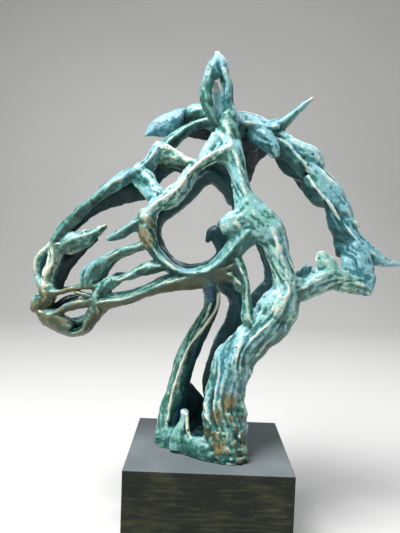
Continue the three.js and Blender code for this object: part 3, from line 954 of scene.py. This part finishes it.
vertex_places = np.zeros(len(thinned.vertices) * 3, np.float32)
thinned.vertices.foreach_get("co", vertex_places)
vertex_places = vertex_places.reshape(-1, 3).astype(float)
vertex_normals = np.zeros(len(thinned.vertices) * 3, np.float32)
thinned.vertices.foreach_get("normal", vertex_normals)
vertex_normals = vertex_normals.reshape(-1, 3)
cell_places = (vertex_places - clay_low) / GRAIN
clipped = np.clip(clay, -MOST_DEPTH, MOST_DEPTH)
ridge_cells = max(1, round(RIDGE_REACH / GRAIN))
ridge = read_between(blurred(clipped, ridge_cells), cell_places) / RIDGE_FULL
# The broad swells and hollows, at about 8 mm, make the colour lighter on swells and darker in hollows: partly
# darker patina, partly painted shade.
brim_cells = max(2, round(BRIM_REACH / GRAIN))
brim = read_between(blurred(clipped, brim_cells), cell_places) / BRIM_FULL
# Faces turned toward the middle plane, away from the middle itself, are marked for painted shade, as in the
# shadow between the two sides of the head, with some darker patina.
off_middle = np.clip((np.abs(vertex_places[:, 1]) - INNER_FROM) / (INNER_FULL - INNER_FROM), 0, 1)
inner_painted_shade = -vertex_normals[:, 1] * np.sign(vertex_places[:, 1]) * off_middle
# The share of each normal that looks up is kept so the colour can be painted lighter on top and darker
# beneath, as light from above falls.
for name, values in (
    ("runs", read_between(runs, cell_places)),
    ("gilding", read_between(gilding, cell_places)),
    ("blueness", read_between(blueness, cell_places)),
    ("darkness", read_between(darkness, cell_places)),
    ("pitting", read_between(pitting, cell_places)),
    ("ridge", ridge),
    ("brim", brim),
    ("inner_painted_shade", inner_painted_shade),
    ("upward_painted_light", vertex_normals[:, 2]),
):
    layer = thinned.attributes.new(name, "FLOAT", "POINT")
    layer.data.foreach_set("value", np.asarray(values, np.float32))


class Wiring:
    """Short words for laying out a material's nodes"""

    def __init__(self, name):
        self.material = bpy.data.materials.new(name)
        self.material.use_nodes = True
        self.tree = self.material.node_tree
        self.shader = self.tree.nodes["Principled BSDF"]
        self.place = self.node("ShaderNodeTexCoord").outputs["Object"]

    def node(self, kind, **settings):
        made = self.tree.nodes.new(kind)
        for key, value in settings.items():
            setattr(made, key, value)
        return made

    def join(self, value, socket):
        if isinstance(value, bpy.types.NodeSocket):
            self.tree.links.new(value, socket)
        else:
            socket.default_value = value

    def math(self, operation, a, b=0.0, c=0.0):
        made = self.node("ShaderNodeMath", operation=operation)
        for value, socket in zip((a, b, c), made.inputs):
            self.join(value, socket)
        return made.outputs[0]

    def attribute(self, name):
        return self.node("ShaderNodeAttribute", attribute_name=name).outputs["Fac"]

    def noise(self, scale, detail=3.0, roughness=0.55, swirl=0.0):
        made = self.node("ShaderNodeTexNoise")
        self.join(self.place, made.inputs["Vector"])
        made.inputs["Scale"].default_value = scale
        made.inputs["Detail"].default_value = detail
        made.inputs["Roughness"].default_value = roughness
        made.inputs["Distortion"].default_value = swirl
        return made.outputs["Fac"]

    def rise(self, value, low, high):
        made = self.node("ShaderNodeMapRange", interpolation_type="SMOOTHSTEP")
        self.join(value, made.inputs["Value"])
        made.inputs["From Min"].default_value = low
        made.inputs["From Max"].default_value = high
        return made.outputs["Result"]

    def mix(self, share, a, b):
        made = self.node("ShaderNodeMix", data_type="RGBA")
        self.join(share, made.inputs["Factor"])
        colours = [socket for socket in made.inputs if socket.type == "RGBA"]
        self.join(a, colours[0])
        self.join(b, colours[1])
        return [socket for socket in made.outputs if socket.type == "RGBA"][0]


# The teal, green and pale tones are the patina's own colours; the shade, navy and night tones are painted
# shade; the cream is rubbed metal, partly painted as a glint; gold and olive are gilt.
DEEP_TEAL = (0.004, 0.034, 0.032, 1)
GREEN_TEAL = (0.032, 0.160, 0.120, 1)
BLUE_TEAL = (0.040, 0.180, 0.210, 1)
PALE_GREEN = (0.235, 0.510, 0.435, 1)
PALE_BLUE = (0.240, 0.510, 0.570, 1)
SHADE = (0.011, 0.056, 0.068, 1)
NAVY_SHADE = (0.013, 0.056, 0.155, 1)
NIGHT_SHADE = (0.003, 0.010, 0.016, 1)
CREAM_WEAR_AND_GLINT = (0.820, 0.800, 0.640, 1)
GOLD = (0.330, 0.255, 0.105, 1)
OLIVE = (0.070, 0.068, 0.024, 1)

bronze = Wiring("bronze_patina")
run_height = bronze.attribute("runs")
ridge_height = bronze.attribute("ridge")
brim_height = bronze.attribute("brim")
gilded = bronze.attribute("gilding")
blued = bronze.attribute("blueness")
inward_painted_shade = bronze.attribute("inner_painted_shade")
painted_shade_and_tone_share = bronze.attribute("darkness")
pit_share = bronze.attribute("pitting")
upward_painted_light = bronze.attribute("upward_painted_light")
clouds = bronze.noise(30, 3)
drifts = bronze.noise(75, 4, 0.6, 1.0)
flecks = bronze.noise(220, 3, 0.6)
speckle = bronze.noise(600, 2, 0.6)


def centred(value, strength):
    """A noise that swings about nought, not about a half"""
    return bronze.math("MULTIPLY_ADD", value, strength, -0.5 * strength)


def total(*values):
    result = values[0]
    for value in values[1:]:
        result = bronze.math("ADD", result, value)
    return result


def times(value, strength):
    return bronze.math("MULTIPLY", value, strength)


# The tone is painted lighter on faces that look up and darker on those that look down, as light from above
# falls. It is lighter on edges, runs and broad swells and darker in broad hollows, partly patina and partly
# painted light and shade, and darker again by each bar's painted shade.
height = total(bronze.math("MULTIPLY_ADD", upward_painted_light, 0.40, 0.34), times(run_height, 0.36), times(blued, 0.14),
               times(ridge_height, 0.60), times(brim_height, 0.34), centred(clouds, 0.8),
               centred(drifts, 0.85), centred(flecks, 1.15), times(painted_shade_and_tone_share, -0.7))
# Faces that look up are painted bluer, partly patina and partly a painted sky reflection.
blue_share = bronze.rise(total(blued, times(upward_painted_light, 0.25), centred(clouds, 1.6), centred(drifts, 0.8)),
                         0.2, 0.8)
middle_tone = bronze.mix(blue_share, GREEN_TEAL, BLUE_TEAL)
pale_tone = bronze.mix(blue_share, PALE_GREEN, PALE_BLUE)
patina = bronze.mix(bronze.rise(height, -0.05, 0.42), DEEP_TEAL, middle_tone)
patina = bronze.mix(bronze.rise(height, 0.48, 0.95), patina, pale_tone)
sunk = total(times(ridge_height, -1.0), centred(flecks, 0.5))
patina = bronze.mix(times(bronze.rise(sunk, 0.2, 0.9), 0.8), patina, DEEP_TEAL)
# Painted shade: faces turned inward and bars marked with painted shade take the teal or navy shade tone.
shaded = bronze.rise(total(inward_painted_shade, centred(flecks, 0.3)), 0.1, 0.7)
shaded = bronze.math("MAXIMUM", shaded, painted_shade_and_tone_share)
shade_tone = bronze.mix(bronze.rise(blued, 0.8, 1.05), SHADE, NAVY_SHADE)
patina = bronze.mix(times(shaded, 0.93), patina, shade_tone)
# Bars marked with much painted shade are painted nearly black, as deep shade.
patina = bronze.mix(times(bronze.rise(total(painted_shade_and_tone_share, centred(clouds, 0.5)), 0.65, 1.05), 0.85), patina, NIGHT_SHADE)
# Olive gilt, laid most on faces that look down, where it also darkens them as painted shade.
under_gold = bronze.rise(total(gilded, times(upward_painted_light, -0.55), centred(clouds, 1.0), centred(flecks, 0.5)),
                         0.65, 1.3)
patina = bronze.mix(times(under_gold, 0.8), patina, OLIVE)
# Rubbed metal on high edges is wear; more of it on faces that look up paints a highlight there, and none is
# laid in painted shade.
rub_and_glint = total(times(gilded, 0.45), times(ridge_height, 0.70), times(run_height, 0.22), times(upward_painted_light, 0.12),
            centred(drifts, 1.2), centred(flecks, 1.0), centred(speckle, 0.9), times(shaded, -1.0),
            times(painted_shade_and_tone_share, -0.2))
rubbed_and_glint = bronze.rise(rub_and_glint, 0.50, 0.95)
# The rubbed metal is painted cream, as a glint, on faces that look up, and gold on faces that look down.
golden = total(times(gilded, 0.8), times(upward_painted_light, -0.5), centred(clouds, 1.0), times(painted_shade_and_tone_share, 0.4))
gold_share = bronze.rise(golden, 0.35, 0.9)
metal = bronze.mix(gold_share, CREAM_WEAR_AND_GLINT, GOLD)
finish = bronze.mix(times(rubbed_and_glint, 0.9), patina, metal)
pores = bronze.node("ShaderNodeTexVoronoi")
bronze.join(bronze.place, pores.inputs["Vector"])
pores.inputs["Scale"].default_value = 190.0
pore_pick = bronze.node("ShaderNodeSeparateColor")
bronze.join(pores.outputs["Color"], pore_pick.inputs[0])
open_pores = bronze.math("LESS_THAN", pore_pick.outputs[0], times(pit_share, 0.4))
pore_reach = bronze.math("MULTIPLY_ADD", pore_pick.outputs[1], 0.22, centred(speckle, 0.3))
pore_depth = bronze.rise(total(times(pores.outputs["Distance"], -1.0), pore_reach), -0.26, -0.08)
pore = bronze.math("MULTIPLY", pore_depth, open_pores)
finish = bronze.mix(times(pore, 0.8), finish, DEEP_TEAL)
bronze.join(finish, bronze.shader.inputs["Base Color"])
bronze.join(bronze.math("MULTIPLY", rubbed_and_glint, times(gold_share, 0.6)), bronze.shader.inputs["Metallic"])
bronze.join(bronze.math("MULTIPLY_ADD", drifts, 0.3, 0.20), bronze.shader.inputs["Roughness"])
bump = bronze.node("ShaderNodeBump")
bump.inputs["Strength"].default_value = 0.6
bump.inputs["Distance"].default_value = 0.0010
bronze.join(total(times(speckle, 0.5), times(flecks, 1.3), drifts, times(pore, -1.2)), bump.inputs["Height"])
bronze.join(bump.outputs["Normal"], bronze.shader.inputs["Normal"])
thinned.materials.clear()
thinned.materials.append(bronze.material)

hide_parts("horse_head")
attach(head, "root")

# Plinth
# A square-cut block of near-black stone with slightly worn edges. Algae streaks its sides in the strokes of
# the rain and the brush, and its top is coloured a pale bluish grey, much lighter than the sides.

block_low, block_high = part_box("plinth")
WORN_EDGE = 0.0016
CELL = 0.004
STROKE_TILT = math.radians(52)


def worn_block(low, high, cell):
    """A block built of a fine skin of quads"""
    places = []
    faces = []
    index = {}
    size = np.array(high) - np.array(low)
    counts = np.maximum(2, np.round(size / cell).astype(int))

    def corner(cell_at):
        key = tuple(cell_at)
        if key not in index:
            index[key] = len(places)
            places.append([low[a] + size[a] * cell_at[a] / counts[a] for a in range(3)])
        return index[key]

    for axis in range(3):
        u, v = [a for a in range(3) if a != axis]
        for level, flip in ((0, True), (counts[axis], False)):
            for i in range(counts[u]):
                for j in range(counts[v]):
                    quad = []
                    for step_u, step_v in ((0, 0), (1, 0), (1, 1), (0, 1)):
                        at = [0, 0, 0]
                        at[axis] = level
                        at[u] = i + step_u
                        at[v] = j + step_v
                        quad.append(corner(at))
                    faces.append(quad[::-1] if flip != (axis == 1) else quad)
    return np.array(places), faces


block_places, block_faces = worn_block(block_low, block_high, CELL)
block_mesh = bpy.data.meshes.new("stone_block")
block_mesh.from_pydata(block_places.tolist(), [], block_faces)
block = bpy.data.objects.new("stone_block", block_mesh)
bpy.context.scene.collection.objects.link(block)
bevel = block.modifiers.new("edge", "BEVEL")
bevel.width = WORN_EDGE
bevel.segments = 3
bevel.limit_method = "ANGLE"
bpy.context.view_layer.update()
cut_mesh = bpy.data.meshes.new_from_object(block.evaluated_get(bpy.context.evaluated_depsgraph_get()))
block.modifiers.clear()
block.data = cut_mesh
bpy.data.meshes.remove(block_mesh)
cut_mesh.name = "stone_block"
cut_mesh.shade_smooth()

STONE_DARK = (0.005, 0.007, 0.004, 1)
STONE_GREY = (0.140, 0.165, 0.172, 1)
STONE_PALE = (0.180, 0.200, 0.210, 1)
ALGAE = (0.027, 0.030, 0.010, 1)
MOSS = (0.060, 0.062, 0.022, 1)

stone = Wiring("dark_stone")
normal = stone.node("ShaderNodeNewGeometry").outputs["Normal"]
split = stone.node("ShaderNodeSeparateXYZ")
stone.join(normal, split.inputs[0])
# Faces that look up take the pale grey top colour, the rest the near-black side colour.
top_side = stone.rise(split.outputs["Z"], 0.5, 0.9)
strokes = stone.node("ShaderNodeMapping")
strokes.inputs["Rotation"].default_value = (0.0, STROKE_TILT, 0.0)
strokes.inputs["Scale"].default_value = (22, 22, 150)
stone.join(stone.place, strokes.inputs["Vector"])
streaks = stone.node("ShaderNodeTexNoise")
stone.join(strokes.outputs[0], streaks.inputs["Vector"])
streaks.inputs["Scale"].default_value = 1.6
streaks.inputs["Detail"].default_value = 5.0
grit = stone.noise(600, 2)
patches = stone.noise(22, 4)
algae_share = stone.math("ADD", streaks.outputs["Fac"], stone.math("MULTIPLY_ADD", patches, 0.8, -0.4))
side_tone = stone.mix(stone.rise(algae_share, 0.42, 0.68), STONE_DARK, ALGAE)
side_tone = stone.mix(stone.rise(algae_share, 0.66, 0.85), side_tone, MOSS)
top_tone = stone.mix(stone.rise(patches, 0.3, 0.75), STONE_GREY, STONE_PALE)
tone = stone.mix(top_side, side_tone, top_tone)
tone = stone.mix(stone.math("MULTIPLY", stone.rise(grit, 0.55, 0.8), 0.3), tone, STONE_DARK)
stone.join(tone, stone.shader.inputs["Base Color"])
stone.join(stone.math("MULTIPLY_ADD", grit, 0.2, 0.75), stone.shader.inputs["Roughness"])
stone_bump = stone.node("ShaderNodeBump")
stone_bump.inputs["Strength"].default_value = 0.4
stone_bump.inputs["Distance"].default_value = 0.0005
stone.join(stone.math("ADD", grit, streaks.outputs["Fac"]), stone_bump.inputs["Height"])
stone.join(stone_bump.outputs["Normal"], stone.shader.inputs["Normal"])
cut_mesh.materials.clear()
cut_mesh.materials.append(stone.material)

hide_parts("plinth")
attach(block, "root")

# Floor and backdrop
# One pale sheet that lies flat under the block and sweeps up behind it.

SHEET_HALF = 4.0
SWEEP_START = 1.6
SWEEP_RADIUS = 0.9
SWEEP_TOP = 3.5

profile = [(-3.0, 0.0), (SWEEP_START, 0.0)]
for k in range(1, 17):
    turn = math.pi / 2 * k / 16
    profile.append((SWEEP_START + SWEEP_RADIUS * math.sin(turn), SWEEP_RADIUS * (1 - math.cos(turn))))
profile.append((SWEEP_START + SWEEP_RADIUS, SWEEP_TOP))
sheet_places = [(x, y, z) for y, z in profile for x in (-SHEET_HALF, SHEET_HALF)]
sheet_faces = [(2 * k, 2 * k + 1, 2 * k + 3, 2 * k + 2) for k in range(len(profile) - 1)]
sheet_mesh = bpy.data.meshes.new("studio_sheet")
sheet_mesh.from_pydata(sheet_places, [], sheet_faces)
sheet_mesh.shade_smooth()
sheet = bpy.data.objects.new("studio_sheet", sheet_mesh)
bpy.context.scene.collection.objects.link(sheet)
paper = Wiring("pale_paper")
fibre = paper.noise(3, 2)
paper.join(paper.mix(fibre, (0.80, 0.78, 0.75, 1), (0.84, 0.82, 0.79, 1)), paper.shader.inputs["Base Color"])
paper.shader.inputs["Roughness"].default_value = 0.9
sheet_mesh.materials.append(paper.material)

# Light
# Soft daylight from a wide panel above and in front, a weaker one from behind, and a pale room.


def panel(name, place, aim, size, power, colour):
    light = bpy.data.lights.new(name, "AREA")
    light.shape = "SQUARE"
    light.size = size
    light.energy = power
    light.color = colour
    lamp = bpy.data.objects.new(name, light)
    lamp.location = place
    lamp.rotation_euler = (Vector(aim) - Vector(place)).to_track_quat("-Z", "Y").to_euler()
    bpy.context.scene.collection.objects.link(lamp)


HEAD_MIDDLE = (0, 0, 0.37)
panel("sky_panel", (-0.6, -0.6, 1.7), HEAD_MIDDLE, 0.7, 46, (0.96, 0.98, 1.0))
panel("back_panel", (0.9, 0.9, 1.8), HEAD_MIDDLE, 0.9, 14, (0.93, 0.97, 1.0))
world = bpy.data.worlds.new("studio")
world.use_nodes = True
world.node_tree.nodes["Background"].inputs["Color"].default_value = (0.90, 0.94, 1.0, 1)
world.node_tree.nodes["Background"].inputs["Strength"].default_value = 0.18
bpy.context.scene.world = world
bpy.context.scene.view_settings.view_transform = "Standard"

# Camera
# It stands 65 cm in front of the block, a little above the middle of the head, looks down by under four
# degrees and is rolled by two.

CAMERA_PLACE = (-0.0177, -0.6530, 0.4032)
CAMERA_PITCH = math.radians(3.602)
CAMERA_YAW = math.radians(-0.137)
CAMERA_ROLL = math.radians(2.130)
SENSOR = 36
LENS = 34.4465

forward = Vector((
    math.sin(CAMERA_YAW) * math.cos(CAMERA_PITCH),
    math.cos(CAMERA_YAW) * math.cos(CAMERA_PITCH),
    -math.sin(CAMERA_PITCH),
))
level = Vector((math.cos(CAMERA_YAW), -math.sin(CAMERA_YAW), 0))
upright = level.cross(forward)
right = level * math.cos(CAMERA_ROLL) + upright * math.sin(CAMERA_ROLL)
up = upright * math.cos(CAMERA_ROLL) - level * math.sin(CAMERA_ROLL)
lens = bpy.data.cameras.new("camera")
lens.sensor_width = SENSOR
lens.lens = LENS
camera = bpy.data.objects.new("camera", lens)
turned = Matrix((right, up, -forward)).transposed().to_4x4()
camera.matrix_world = Matrix.Translation(CAMERA_PLACE) @ turned
bpy.context.scene.collection.objects.link(camera)
bpy.context.scene.camera = camera

bpy.context.view_layer.update()
